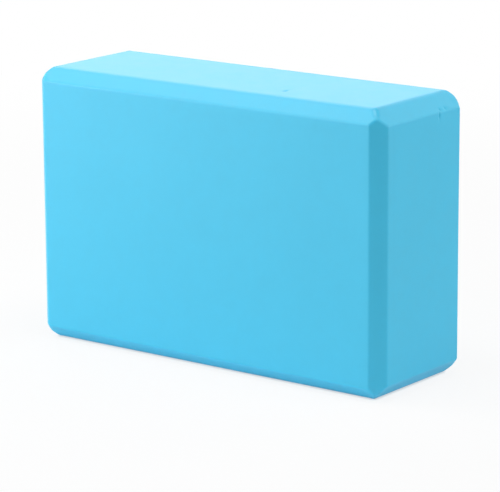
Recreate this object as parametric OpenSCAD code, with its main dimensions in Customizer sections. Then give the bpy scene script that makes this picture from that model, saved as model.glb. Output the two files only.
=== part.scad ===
// Foam exercise block: one oblong of closed-cell foam with all twelve edges
// bevelled and every arris softened. It stands on a long narrow face, centred
// on the origin, with its length along X, its thickness along Y and +Z up.
// All lengths are in millimetres.

/* [Block] */
// Length from end to end
block_length = 230; // [150:1:300]
// Thickness between the two broad faces
block_thickness = 79; // [50:1:120]
// Height, standing on a long narrow face
block_height = 152; // [100:1:200]

/* [Bevels] */
// Width of the bevels on the four long edges, measured along either face
long_bevel = 7.2; // [5:0.1:12]
// Width of the bevels on the four upright edges
upright_bevel = 7; // [5:0.1:12]
// Width of the bevels on the four edges that cross the thickness
cross_bevel = 8.3; // [5:0.1:12]

/* [Arrises] */
// Radius where a bevel meets a broad face or an end
arris_radius = 2; // [0.5:0.1:3]
// Radius where a bevel meets one of the two long narrow faces
narrow_arris_radius = 3.5; // [0.5:0.1:6]

/* [Hidden] */

// Segments in a full circle
$fn = 64;
foam_blue = [0.38, 0.79, 0.92];

// The outline turns by this much at each end of a 45 degree bevel
arris_turn = 45;

function unit(v) = v / norm(v);

// Distance from a sharp corner to the ends of its arc
function arc_start(radius) = radius * tan(arris_turn / 2);

// Distance from a sharp corner to the centre of its arc
function arc_depth(radius) = radius / cos(arris_turn / 2);

// Oblong with its corners cut off: its eight sharp corners, anticlockwise from the
// lower right, each with the radius that softens it
function bevelled_corners(width, height, bevel, side_radius, cap_radius) =
    let (x = width / 2, y = height / 2)
    [
        [[x, bevel - y], side_radius], [[x, y - bevel], side_radius],
        [[x - bevel, y], cap_radius], [[bevel - x, y], cap_radius],
        [[-x, y - bevel], side_radius], [[-x, bevel - y], side_radius],
        [[bevel - x, -y], cap_radius], [[x - bevel, -y], cap_radius],
    ];

// Each corner with its radius and the directions to the corners before and after it
function corners_with_sides(corners) =
    let (count = len(corners))
    [
        for (i = [0 : count - 1])
            let (
                corner = corners[i][0],
                before = corners[(i + count - 1) % count][0],
                after = corners[(i + 1) % count][0]
            )
            [corner, corners[i][1], unit(before - corner), unit(after - corner)]
    ];

// Outline with true arcs in place of its sharp corners
module softened_outline(corners) {
    sides = corners_with_sides(corners);
    polygon([
        for (s = sides)
            each [s[0] + arc_start(s[1]) * s[2], s[0] + arc_start(s[1]) * s[3]]
    ]);
    for (s = sides)
        translate(s[0] + arc_depth(s[1]) * unit(s[2] + s[3]))
            circle(r = s[1]);
}

// Bar of bevelled oblong section, centred, running along Z. The cap radius is that of
// the arrises on the two faces across the section's height.
module bevelled_bar(width, height, run, bevel, cap_radius) {
    linear_extrude(run, center = true)
        softened_outline(bevelled_corners(width, height, bevel, arris_radius, cap_radius));
}

// The block is what three crossed bars have in common. Each bar carries the four
// bevels that run along it, so three bevels meet in a mitred point at every corner.
module foam_block() {
    color(foam_blue)
        translate([0, 0, block_height / 2])
            intersection() {
                bevelled_bar(block_length, block_thickness, block_height, upright_bevel,
                    arris_radius);
                rotate([90, 0, 0])
                    bevelled_bar(block_length, block_height, block_thickness, cross_bevel,
                        narrow_arris_radius);
                rotate([90, 0, 90])
                    bevelled_bar(block_thickness, block_height, block_length, long_bevel,
                        narrow_arris_radius);
            }
}

foam_block();
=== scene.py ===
"""Looks of the foam block: a bevelled block of closed-cell foam in a plain white studio."""

import math

import bpy
import numpy as np
from mathutils import Matrix, Vector, noise


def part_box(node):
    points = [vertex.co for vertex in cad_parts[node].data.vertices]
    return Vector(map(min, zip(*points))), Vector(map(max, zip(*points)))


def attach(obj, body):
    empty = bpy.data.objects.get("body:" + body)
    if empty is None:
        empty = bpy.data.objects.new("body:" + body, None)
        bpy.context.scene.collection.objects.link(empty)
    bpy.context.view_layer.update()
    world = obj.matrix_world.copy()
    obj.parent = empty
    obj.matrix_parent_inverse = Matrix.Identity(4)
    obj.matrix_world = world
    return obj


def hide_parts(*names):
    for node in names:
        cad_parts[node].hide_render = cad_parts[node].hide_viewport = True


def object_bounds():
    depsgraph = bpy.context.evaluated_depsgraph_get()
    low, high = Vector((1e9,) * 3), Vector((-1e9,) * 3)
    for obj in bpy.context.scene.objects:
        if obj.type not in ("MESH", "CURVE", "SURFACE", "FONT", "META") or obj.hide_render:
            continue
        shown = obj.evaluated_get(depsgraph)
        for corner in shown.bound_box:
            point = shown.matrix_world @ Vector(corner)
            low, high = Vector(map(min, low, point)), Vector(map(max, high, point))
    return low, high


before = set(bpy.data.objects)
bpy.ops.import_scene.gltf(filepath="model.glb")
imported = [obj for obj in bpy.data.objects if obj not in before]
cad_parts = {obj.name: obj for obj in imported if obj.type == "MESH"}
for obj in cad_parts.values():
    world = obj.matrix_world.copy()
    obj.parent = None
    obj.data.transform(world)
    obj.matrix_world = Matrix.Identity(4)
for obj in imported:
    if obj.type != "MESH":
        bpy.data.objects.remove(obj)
CAD_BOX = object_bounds()

NODE = "foam_block"
PIECE = "foam_block_skin"
BODY = "root"

MM = 0.001

# The block's edges: bevels as in the part's source, and radii of the arrises between them
LONG_BEVEL = 7.2 * MM
UPRIGHT_BEVEL = 7.0 * MM
CROSS_BEVEL = 8.3 * MM
ARRIS_RADIUS = 2.0 * MM
NARROW_ARRIS_RADIUS = 4.8 * MM

# Depths below the top, and above the base, between which the softer arrises of the
# narrow faces give way to the firmer ones
SOFT_DEPTH = 1.5 * MM
FIRM_DEPTH = 6.0 * MM

# The corners. The three bevels at a corner meet in its tip. The tip is rounded, and stands
# out a little from that rounding. The mitre that runs from it to the narrow face is as firm
# as the arrises. The one crisp corner, at the right, front and top, has a sharp tip and a
# soft mitre instead. A reach is two distances between which such a form fades out.
TIP_RADIUS = 7.0 * MM
TIP_FULLNESS = 0.4 * MM
TIP_REACH = (1.0 * MM, 8.0 * MM)
CRISP_CORNER = (1, -1, 1)
MITRE_RADIUS = 5.4 * MM
MITRE_PLACE = 2 / 3
MITRE_REACH = (1.0 * MM, 5.0 * MM)

# Spacing of the mesh lines: over the bevels, across the arrises that lie in a zone of
# depths from each side, and over the flats
BEVEL_STEP = 0.8 * MM
ARRIS_STEP = 0.4 * MM
ARRIS_ZONE = (4.0 * MM, 10.4 * MM)
FLAT_STEP = 3.0 * MM
STEP_GROWTH = 1.35

# Unevenness of the foam's skin: the size of the swells, and how deep they dip
SWELLS = ((55 * MM, 0.09 * MM), (9 * MM, 0.02 * MM))

# Small marks: place, reach along X, Y and Z, and depth, all in millimetres
MARKS = {
    "nick in the right end": ((115.0, 13.5, 142.0), (3.0, 0.6, 1.9), 0.80),
    "chip over the nick": ((114.2, 14.9, 144.9), (1.2, 0.8, 0.8), 0.50),
    "chip behind the nick": ((114.2, 19.8, 144.9), (1.2, 0.8, 0.8), 0.45),
    "dimple in the top": ((41.0, -19.0, 152.0), (1.1, 2.4, 3.0), 0.50),
}

# Closer mesh lines over the marks: their spacing, and how many reaches they cover
MARK_STEP = 0.4 * MM
MARK_COVER = 2.0

# Layer of the mesh that tells the material where the arrises are
ARRIS_LAYER = "arris"
HALF_ARRIS_TURN = math.radians(22.5)

# Room for rounding errors when a point is tested against a flat
TOLERANCE = 1e-9

# The foam: its colour, how far its tone swings to either side, and its surface
FOAM_COLOUR = (0.05, 0.557, 0.83)
TONE_SWING = 0.07
FOAM_ROUGHNESS = 0.45
FOAM_IOR = 1.5

# Patterns in the foam: size and detail of the mottles, size of the cells, and the pinholes'
# spacing, their rim in shares of it, and the random value that a place must pass to have one
MOTTLES = {"broad": (60 * MM, 2), "patchy": (7 * MM, 3), "grainy": (0.9 * MM, 2)}
MOTTLE_ROUGHNESS = 0.55
MOTTLE_MEAN = 0.5
CELL_SIZE = 0.45 * MM
PINHOLE_SPACING = 2.4 * MM
PINHOLE_RIM = (0.05, 0.12)
PINHOLE_PASS = 0.72

# What the patterns add to the tone, which runs from 0 to 1 and stays near 0.5, to the
# roughness, and to the height in millimetres. The lighter tone along the arrises is a
# painted highlight.
# The darker tone in the pinholes is painted shade inside the holes.
TONE = {"broad": 0.45, "patchy": 0.35, "grainy": 0.2, "arris": 0.12, "pinhole": -0.5}
ROUGHENING = {"patchy": 0.08, "grainy": 0.06, "arris": -0.15}
RELIEF = {"cells": 0.010, "grainy": 0.012, "patchy": 0.030, "pinhole": -0.06}

# Camera, as it stood for the photograph: angles in degrees, distances in metres, and the
# width of the sensor in millimetres
CAMERA_AZIMUTH = 37.32
CAMERA_ELEVATION = 13.44
CAMERA_ROLL = -0.34
CAMERA_DISTANCE = 1.5553
CAMERA_TARGET = Vector((0.0026, 0.0, 0.0603))
CAMERA_CLIP = (0.05, 50.0)
LENS_PX = 2891.4
IMAGE_WIDTH_PX = 500
SENSOR_WIDTH = 36.0

# Strengths of the backdrop that is seen and mirrored, and of the light from all round
WHITE = (1, 1, 1, 1)
BACKDROP_WHITE = 1.0
ROOM_LIGHT = 0.02

FLOOR_HALF_SIDE = 12.0
FLOOR_COLOUR = (0.95, 0.95, 0.95, 1)

# How much of the floor the camera sees as plain white: in the block's shadow, with the
# distances from the origin between which that grows to all of it, and at the contact line,
# with how close the block must be to shut the sky out, and the range of openness over which
# the white grows. The foam's gloss mirrors less.
SHADOW_WHITE_SHARE = 0.88
SHADOW_REACH = (0.25, 0.9)
CONTACT_WHITE_SHARE = 0.6
CONTACT_REACH = 1.5 * MM
CONTACT_OPENNESS = (0.3, 0.8)
MIRRORED_WHITE_SHARE = 0.5

# Soft boxes: azimuth and elevation in degrees, distance and diameter in metres, power in watts
LAMPS = {
    "left_front": (-30, 5, 2.2, 2.6, 38.5),
    "left_low": (-50, 3, 0.8, 0.5, 1.7),
    "left_high": (-67, 54, 1.2, 0.5, 4.0),
    "back_high": (-127, 42, 2.2, 0.9, 5.0),
    "back": (-142, 14, 2.2, 1.4, 6.3),
    "right": (110, 8, 2.2, 2.4, 36.5),
    "right_high": (163, 36, 2.2, 1.2, 4.6),
    "top": (60, 80, 1.0, 0.5, 3.6),
}


def direction(azimuth, elevation):
    """Unit vector from azimuth, counted from -Y towards +X, and elevation, in degrees."""
    turn, lift = math.radians(azimuth), math.radians(elevation)
    return Vector((
        math.sin(turn) * math.cos(lift),
        -math.cos(turn) * math.cos(lift),
        math.sin(lift),
    ))


def new_object(name, data):
    """A new object in the scene."""
    item = bpy.data.objects.new(name, data)
    bpy.context.scene.collection.objects.link(item)
    return item


# ---------------------------------------------------------------- the block's form

def smooth_step(values, start, end):
    """0 at the start, 1 at the end, with no corner in between."""
    share = np.clip((values - start) / (end - start), 0, 1)
    return share * share * (3 - 2 * share)


def edge_bevel(axis):
    """Width of the bevels on the edges that run along an axis."""
    return (LONG_BEVEL, CROSS_BEVEL, UPRIGHT_BEVEL)[axis]


def core_flats(half, radius):
    """Normals and distances of the 18 flats of the core, which is the block less one radius."""
    normals, distances = [], []
    for axis in range(3):
        for sign in (-1, 1):
            n = np.zeros(3)
            n[axis] = sign
            normals.append(n)
            distances.append(half[axis] - radius)
    for along in range(3):
        a, b = [axis for axis in range(3) if axis != along]
        for sign_a in (-1, 1):
            for sign_b in (-1, 1):
                n = np.zeros(3)
                n[a], n[b] = sign_a, sign_b
                normals.append(n / math.sqrt(2))
                reach = (half[a] + half[b] - edge_bevel(along)) / math.sqrt(2)
                distances.append(reach - radius)
    return np.array(normals), np.array(distances)


def core_legs(radius):
    """What is left of each bevel once the core's flats have moved in."""
    return np.array([edge_bevel(axis) - radius * (2 - math.sqrt(2)) for axis in range(3)])


def corner_depth(radius):
    """How far a corner's tip, where its three mitres meet, lies inside the core's three faces."""
    legs = core_legs(radius)
    return legs.sum() / 2 - legs


def core_edges(half, radius):
    """Ends of the core's 48 edges: four round each face, and three mitres at each corner."""
    inner = half - radius
    legs = core_legs(radius)
    depth = corner_depth(radius)
    face_corner = {}
    edges = []
    for signs in np.ndindex(2, 2, 2):
        inward = 1 - 2 * np.array(signs)
        corner = -inward * inner
        tip = corner + inward * depth
        for axis in range(3):
            a, b = [other for other in range(3) if other != axis]
            inset = np.zeros(3)
            inset[a] = legs[b]
            inset[b] = legs[a]
            face_corner[signs, axis] = corner + inward * inset
            edges.append((tip, face_corner[signs, axis]))
    for (signs, axis), start in face_corner.items():
        for other in range(3):
            if other != axis and signs[other] == 0:
                across = tuple(1 if i == other else s for i, s in enumerate(signs))
                edges.append((start, face_corner[across, axis]))
    starts, ends = np.array(edges).transpose(1, 0, 2)
    return starts, ends


def nearest_on_core(points, half, radius):
    """Nearest point of the core to each point outside it."""
    normals, distances = core_flats(half, radius)
    best = np.full(len(points), np.inf)
    nearest = np.zeros_like(points)
    for normal, distance in zip(normals, distances):
        height = points @ normal - distance
        foot = points - height[:, None] * normal
        on_flat = np.all(foot @ normals.T <= distances + TOLERANCE, axis=1)
        closer = on_flat & (height >= 0) & (height < best)
        best[closer] = height[closer]
        nearest[closer] = foot[closer]
    for start, end in zip(*core_edges(half, radius)):
        run = end - start
        share = np.clip((points - start) @ run / (run @ run), 0, 1)
        foot = start + share[:, None] * run
        gap = np.linalg.norm(points - foot, axis=1)
        closer = gap < best
        best[closer] = gap[closer]
        nearest[closer] = foot[closer]
    return nearest


def softened(points, half, radius):
    """The block's skin with all its arrises at one radius, as points and outward directions."""
    nearest = nearest_on_core(points, half, radius)
    outward = points - nearest
    outward /= np.linalg.norm(outward, axis=1)[:, None]
    return nearest + radius * outward, outward


def mixed(skin, other, share):
    """Blend of two skins, each given as points and outward directions."""
    points, outward = (a + share[:, None] * (b - a) for a, b in zip(skin, other))
    return points, outward / np.linalg.norm(outward, axis=1)[:, None]


def nearness(points, place, reach):
    """1 close to the same place at each of the eight corners, and 0 beyond its reach."""
    return 1 - smooth_step(np.linalg.norm(np.abs(points) - place, axis=1), *reach)


def block_skin(points, half):
    """The skin of a block round the origin: softer arrises at the narrow faces, and corners."""
    firm = softened(points, half, ARRIS_RADIUS)
    depth = half[2] - np.abs(firm[0][:, 2])
    near_end = 1 - smooth_step(depth, SOFT_DEPTH, FIRM_DEPTH)
    skin = mixed(firm, softened(points, half, NARROW_ARRIS_RADIUS), near_end)

    tip = half - corner_depth(0)
    face_corner = half - np.array([CROSS_BEVEL, LONG_BEVEL, 0])
    near_mitre = nearness(skin[0], tip + MITRE_PLACE * (face_corner - tip), MITRE_REACH)
    near_tip = nearness(skin[0], tip, TIP_REACH)
    crisp = np.all(np.sign(points) == CRISP_CORNER, axis=1)

    rounded, outward = softened(points, half, TIP_RADIUS)
    full = rounded + TIP_FULLNESS * outward
    skin = mixed(skin, (full, outward), np.where(crisp, 0, near_tip))
    soft = softened(points, half, MITRE_RADIUS)
    mitre = [np.where(crisp[:, None], a, b) for a, b in zip(soft, firm)]
    return mixed(skin, mitre, near_mitre)


def mesh_lines(axis, length, low):
    """Mesh lines along one side: close over the arrises and small marks, wide over the flats."""
    lines = list(np.arange(0, ARRIS_ZONE[0], BEVEL_STEP))
    lines += list(np.arange(*ARRIS_ZONE, ARRIS_STEP))
    step = ARRIS_STEP
    while step < FLAT_STEP:
        lines.append(lines[-1] + step)
        step *= STEP_GROWTH
    start = np.array(lines)
    gaps = math.ceil((length - 2 * start[-1]) / FLAT_STEP)
    middle = np.linspace(start[-1], length - start[-1], gaps + 1)[1:-1]
    ruled = np.concatenate([start, middle, length - start[::-1]])
    for place, reach, _ in MARKS.values():
        centre = place[axis] * MM - low
        span = MARK_COVER * reach[axis] * MM
        near = np.arange(max(centre - span, BEVEL_STEP), min(centre + span, length), MARK_STEP)
        clear = np.all(np.abs(near[:, None] - ruled) > MARK_STEP / 2, axis=1)
        ruled = np.sort(np.concatenate([ruled, near[clear]]))
    return ruled - length / 2


def box_grid(lines):
    """Points and quads of a closed box whose sides are ruled with the lines of each axis."""
    last = [len(line) - 1 for line in lines]
    index, points, quads = {}, [], []

    def point(key):
        if key not in index:
            index[key] = len(points)
            points.append([lines[axis][key[axis]] for axis in range(3)])
        return index[key]

    for axis in range(3):
        a, b = (axis + 1) % 3, (axis + 2) % 3
        for side in (0, last[axis]):
            for i in range(last[a]):
                for j in range(last[b]):
                    loop = []
                    for di, dj in ((0, 0), (1, 0), (1, 1), (0, 1)):
                        key = [0, 0, 0]
                        key[axis], key[a], key[b] = side, i + di, j + dj
                        loop.append(point(tuple(key)))
                    quads.append(loop if side else loop[::-1])
    return np.array(points), quads


def dips(skin):
    """How far each point of the skin lies under the true form: swells of the foam, and marks."""
    depth = np.zeros(len(skin))
    for size, deepest in SWELLS:
        swell = np.array([noise.noise(Vector(p) / size) for p in skin])
        depth += deepest * (1 - np.clip(swell, -1, 1)) / 2
    for place, reach, deepest in MARKS.values():
        gap = (skin - np.array(place) * MM) / (np.array(reach) * MM)
        depth += deepest * MM * np.exp(-np.sum(gap * gap, axis=1))
    return depth


def arris_share(outward):
    """1 along the middle of an arris between a face and a bevel, and 0 on the flats."""
    normals, _ = core_flats(np.ones(3), 0)
    lean = 1 - np.max(outward @ normals.T, axis=1)
    return np.clip(lean / (1 - math.cos(HALF_ARRIS_TURN)), 0, 1)


def make_block():
    """The block: a ruled box laid onto the skin, with the swells and marks pressed in."""
    low, high = (np.array(corner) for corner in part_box(NODE))
    half, centre = (high - low) / 2, (high + low) / 2
    lines = [mesh_lines(axis, high[axis] - low[axis], low[axis]) for axis in range(3)]
    points, quads = box_grid(lines)
    skin, outward = block_skin(points, half)
    skin += centre
    skin -= dips(skin)[:, None] * outward
    mesh = bpy.data.meshes.new(PIECE)
    mesh.from_pydata(skin.tolist(), [], quads)
    mesh.polygons.foreach_set("use_smooth", [True] * len(mesh.polygons))
    layer = mesh.attributes.new(ARRIS_LAYER, "FLOAT", "POINT")
    layer.data.foreach_set("value", arris_share(outward))
    mesh.materials.append(foam_material())
    mesh.update()
    return new_object(PIECE, mesh)


# ---------------------------------------------------------------- materials

class NodeTree:
    """Short calls for building the nodes of a material or a world."""

    def __init__(self, owner):
        owner.use_nodes = True
        self.nodes = owner.node_tree.nodes
        self.links = owner.node_tree.links

    def add(self, kind, settings=None, **inputs):
        """A new node. Each input is a value, or another node's output socket."""
        node = self.nodes.new(kind)
        for name, value in (settings or {}).items():
            setattr(node, name, value)
        for name, value in inputs.items():
            self.put(node, name.replace("_", " "), value)
        return node

    def put(self, node, name, value):
        """Set or link an input, which goes by its name, or by i and its number."""
        socket = node.inputs[int(name[1:]) if name[0] == "i" and name[1:].isdigit() else name]
        if isinstance(value, bpy.types.NodeSocket):
            self.links.new(value, socket)
        else:
            socket.default_value = value

    def calculate(self, operation, *values):
        """Result of a Math node, from values or output sockets."""
        inputs = {f"i{index}": value for index, value in enumerate(values)}
        return self.add("ShaderNodeMath", {"operation": operation}, **inputs).outputs[0]

    def sum(self, outputs, weights):
        """Weighted sum of the outputs that the weights name."""
        total = 0.0
        for name, weight in weights.items():
            total = self.calculate("MULTIPLY_ADD", outputs[name], weight, total)
        return total

    def ramp(self, value, span, ends):
        """Smooth change from one end value to the other while an output crosses a span."""
        return self.add(
            "ShaderNodeMapRange", {"interpolation_type": "SMOOTHSTEP"}, Value=value,
            From_Min=span[0], From_Max=span[1], To_Min=ends[0], To_Max=ends[1],
        ).outputs["Result"]


def tinted(colour, factor):
    """A lighter or darker version of a colour, with full alpha."""
    return tuple(channel * factor for channel in colour) + (1,)


def pinholes(tree, place):
    """1 in a pinhole and 0 elsewhere."""
    spots = tree.add("ShaderNodeTexVoronoi", Vector=place, Scale=1 / PINHOLE_SPACING).outputs
    hole = tree.ramp(spots["Distance"], PINHOLE_RIM, (1.0, 0.0))
    chosen = tree.calculate("GREATER_THAN", spots["Color"], PINHOLE_PASS)
    return tree.calculate("MULTIPLY", hole, chosen)


def foam_patterns(tree):
    """Outputs of the foam's mottles, arrises, cells and pinholes, by name."""
    place = tree.add("ShaderNodeTexCoord").outputs["Object"]
    patterns = {}
    for name, (size, detail) in MOTTLES.items():
        mottle = tree.add(
            "ShaderNodeTexNoise", Vector=place,
            Scale=1 / size, Detail=detail, Roughness=MOTTLE_ROUGHNESS,
        )
        patterns[name] = mottle.outputs["Fac"]
    arris = tree.add("ShaderNodeAttribute", {"attribute_name": ARRIS_LAYER})
    patterns["arris"] = arris.outputs["Fac"]
    cells = tree.add("ShaderNodeTexVoronoi", Vector=place, Scale=1 / CELL_SIZE)
    patterns["cells"] = cells.outputs["Distance"]
    patterns["pinhole"] = pinholes(tree, place)
    return patterns


def foam_material():
    """Skinned closed-cell foam: fine cells, a faint mottle and sparse pinholes, with a painted
    highlight along the arrises and painted shade in the pinholes.
    """
    material = bpy.data.materials.new("foam")
    tree = NodeTree(material)
    shader = tree.nodes["Principled BSDF"]
    patterns = foam_patterns(tree)

    # the colours of a Mix node are its inputs 6 and 7 and its output 2
    # the tone carries a painted highlight along the arrises and painted shade in the pinholes
    colour = tree.add(
        "ShaderNodeMix", {"data_type": "RGBA", "clamp_factor": True}, i0=tree.sum(patterns, TONE),
        i6=tinted(FOAM_COLOUR, 1 - TONE_SWING), i7=tinted(FOAM_COLOUR, 1 + TONE_SWING),
    ).outputs[2]
    tree.put(shader, "Base Color", colour)

    # what the mottles add to the roughness on average comes off again
    level = FOAM_ROUGHNESS - MOTTLE_MEAN * (ROUGHENING["patchy"] + ROUGHENING["grainy"])
    rough = tree.calculate("ADD", tree.sum(patterns, ROUGHENING), level)
    tree.put(shader, "Roughness", rough)
    tree.put(shader, "IOR", FOAM_IOR)

    bump = tree.add("ShaderNodeBump", Height=tree.sum(patterns, RELIEF), Distance=MM, Strength=1.0)
    tree.put(shader, "Normal", bump.outputs["Normal"])
    return material


def floor_material():
    """Matt white floor. The camera sees it as plain white where it is open, less so in the
    shadow round the block, and least of all close to where the block touches it."""
    material = bpy.data.materials.new("floor")
    tree = NodeTree(material)
    tree.nodes.clear()
    matt = tree.add("ShaderNodeBsdfDiffuse", Color=FLOOR_COLOUR)
    white = tree.add("ShaderNodeEmission", Strength=BACKDROP_WHITE)

    place = tree.add("ShaderNodeTexCoord").outputs["Object"]
    distance = tree.add("ShaderNodeVectorMath", {"operation": "LENGTH"}, i0=place).outputs["Value"]
    openness = tree.add("ShaderNodeAmbientOcclusion", Distance=CONTACT_REACH).outputs["AO"]
    path = tree.add("ShaderNodeLightPath").outputs
    seen = tree.sum(path, {"Is Camera Ray": 1.0, "Is Glossy Ray": MIRRORED_WHITE_SHARE})
    for share in (
        tree.ramp(distance, SHADOW_REACH, (SHADOW_WHITE_SHARE, 1.0)),
        tree.ramp(openness, CONTACT_OPENNESS, (CONTACT_WHITE_SHARE, 1.0)),
    ):
        seen = tree.calculate("MULTIPLY", seen, share)

    mix = tree.add("ShaderNodeMixShader", i0=seen, i1=matt.outputs[0], i2=white.outputs[0])
    tree.add("ShaderNodeOutputMaterial", Surface=mix.outputs[0])
    return material


# ---------------------------------------------------------------- the studio

def make_camera():
    """The camera, aimed at its target and rolled a little."""
    back = direction(CAMERA_AZIMUTH, CAMERA_ELEVATION)
    right = Vector((0, 0, 1)).cross(back).normalized()
    right = Matrix.Rotation(math.radians(CAMERA_ROLL), 3, back) @ right
    axes = Matrix((right, back.cross(right), back)).transposed().to_4x4()
    data = bpy.data.cameras.new("camera")
    data.sensor_width = SENSOR_WIDTH
    data.lens = LENS_PX * SENSOR_WIDTH / IMAGE_WIDTH_PX
    data.clip_start, data.clip_end = CAMERA_CLIP
    camera = new_object("camera", data)
    camera.matrix_world = Matrix.Translation(CAMERA_TARGET + back * CAMERA_DISTANCE) @ axes
    bpy.context.scene.camera = camera


def make_floor():
    """A wide square of floor, which belongs to the studio and not to the part."""
    mesh = bpy.data.meshes.new("floor")
    h = FLOOR_HALF_SIDE
    mesh.from_pydata([(-h, -h, 0), (h, -h, 0), (h, h, 0), (-h, h, 0)], [], [(0, 1, 2, 3)])
    mesh.materials.append(floor_material())
    floor = new_object("floor", mesh)


def make_world():
    """White backdrop for the camera and for reflections, and a little light from all round."""
    world = bpy.data.worlds.new("studio")
    tree = NodeTree(world)
    tree.nodes.clear()
    white = tree.add("ShaderNodeBackground", Color=WHITE, Strength=BACKDROP_WHITE)
    light = tree.add("ShaderNodeBackground", Color=WHITE, Strength=ROOM_LIGHT)
    path = tree.add("ShaderNodeLightPath").outputs
    seen = tree.calculate("MAXIMUM", path["Is Camera Ray"], path["Is Glossy Ray"])
    mix = tree.add("ShaderNodeMixShader", i0=seen, i1=light.outputs[0], i2=white.outputs[0])
    tree.add("ShaderNodeOutputWorld", Surface=mix.outputs[0])
    bpy.context.scene.world = world


def make_lamp(name, azimuth, elevation, distance, size, power):
    """A soft box that points at the block's middle."""
    data = bpy.data.lights.new(name, "AREA")
    data.shape = "DISK"
    data.size = size
    data.energy = power
    lamp = new_object(name, data)
    aim = direction(azimuth, elevation)
    middle = (CAD_BOX[0] + CAD_BOX[1]) / 2
    lamp.location = middle + aim * distance
    lamp.rotation_euler = (-aim).to_track_quat("-Z", "Y").to_euler()


make_camera()
make_floor()
make_world()
for name, settings in LAMPS.items():
    make_lamp(name, *settings)

block = make_block()
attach(block, BODY)
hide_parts(NODE)

bpy.context.scene.view_settings.view_transform = "Standard"
